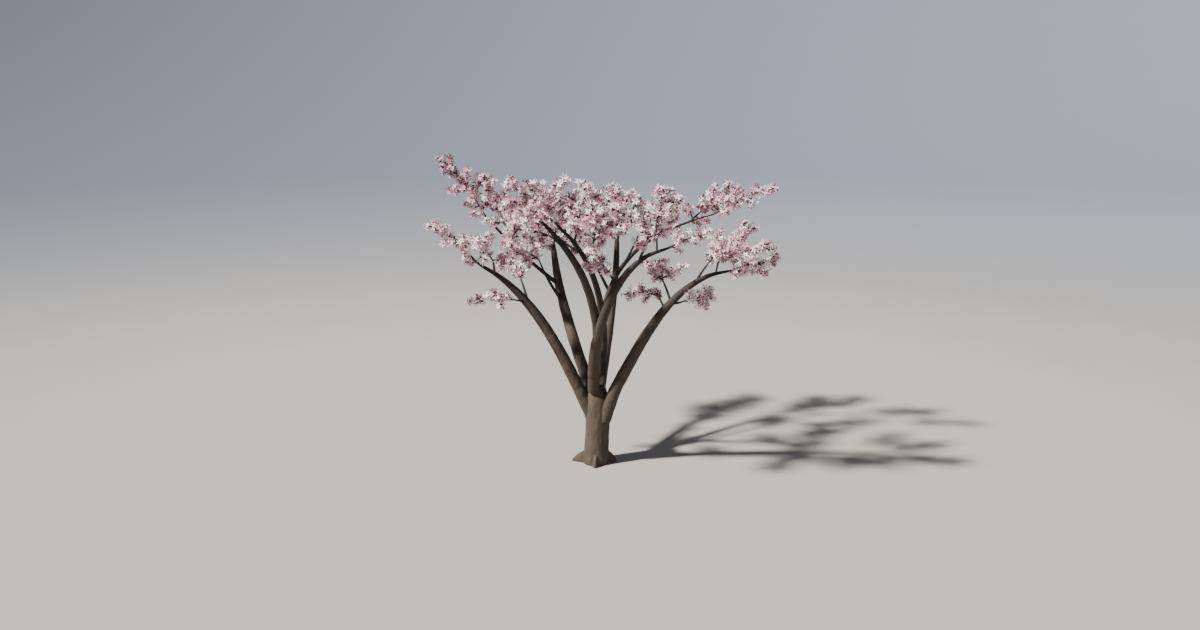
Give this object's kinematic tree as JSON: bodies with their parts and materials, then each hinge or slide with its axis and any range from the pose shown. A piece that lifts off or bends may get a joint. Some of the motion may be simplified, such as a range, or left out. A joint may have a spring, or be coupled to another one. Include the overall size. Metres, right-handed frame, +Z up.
{
  "type": "cherry blossom tree",
  "caption": "A flowering cherry in full blossom: a short thick trunk with root toes forks low into long bare boughs that carry an open, flat-topped crown of pink and white flowers",
  "frame": {"origin": "the middle of the trunk's flat cut at ground level", "axes": "+Z up; +X to the right as seen from the front, across the widest spread of the crown; +Y to the back"},
  "size_m": [6.886, 5.5892, 6.1921],
  "materials": {
    "bark": "rough grey-brown bark with pale horizontal pores",
    "blossom_pale": "soft matt ivory and blush petals",
    "blossom_pink": "soft matt pink petals",
    "blossom_deep": "soft matt deep rose petals"
  },
  "bodies": {
    "root": {"trunk": "bark", "bough_left": "bark", "bough_right": "bark", "bough_left_rear": "bark", "bough_front": "bark", "bough_right_rear": "bark", "bough_centre": "bark", "bough_front_left": "bark", "side_far_left": "bark", "side_left_low": "bark", "side_left_inner": "bark", "side_left_front": "bark", "side_left_rear_low": "bark", "side_left_rear_high": "bark", "side_crown": "bark", "side_right_rear": "bark", "side_right_centre": "bark", "side_far_right": "bark", "side_right_upright": "bark", "side_front_right": "bark", "side_centre_low": "bark", "side_front_left": "bark", "side_centre": "bark", "side_centre_left": "bark", "side_front": "bark", "side_right_high": "bark", "side_right_front": "bark", "side_right_under": "bark", "side_right_inner_low": "bark", "side_right_inner": "bark", "blossom_left": "blossom_pale", "blossom_left_low": "blossom_pink", "blossom_left_inner": "blossom_deep", "blossom_left_front": "blossom_pale", "blossom_far_left": "blossom_pink", "blossom_left_rear_low": "blossom_deep", "blossom_left_rear_high": "blossom_pale", "blossom_left_rear": "blossom_pink", "blossom_top": "blossom_deep", "blossom_crown": "blossom_pale", "blossom_right_rear": "blossom_pink", "blossom_right_centre": "blossom_deep", "blossom_right_far_rear": "blossom_pale", "blossom_far_right": "blossom_pink", "blossom_right_upright": "blossom_deep", "blossom_front": "blossom_pale", "blossom_front_right": "blossom_pink", "blossom_centre_low": "blossom_deep", "blossom_front_left": "blossom_pale", "blossom_front_left_low": "blossom_pink", "blossom_centre": "blossom_deep", "blossom_centre_top": "blossom_pale", "blossom_centre_left": "blossom_pink", "blossom_front_centre": "blossom_deep", "blossom_right": "blossom_pale", "blossom_right_high": "blossom_pink", "blossom_right_front": "blossom_deep", "blossom_right_under": "blossom_pale", "blossom_right_inner_low": "blossom_pink", "blossom_right_inner": "blossom_deep"}
  },
  "joints": []
}
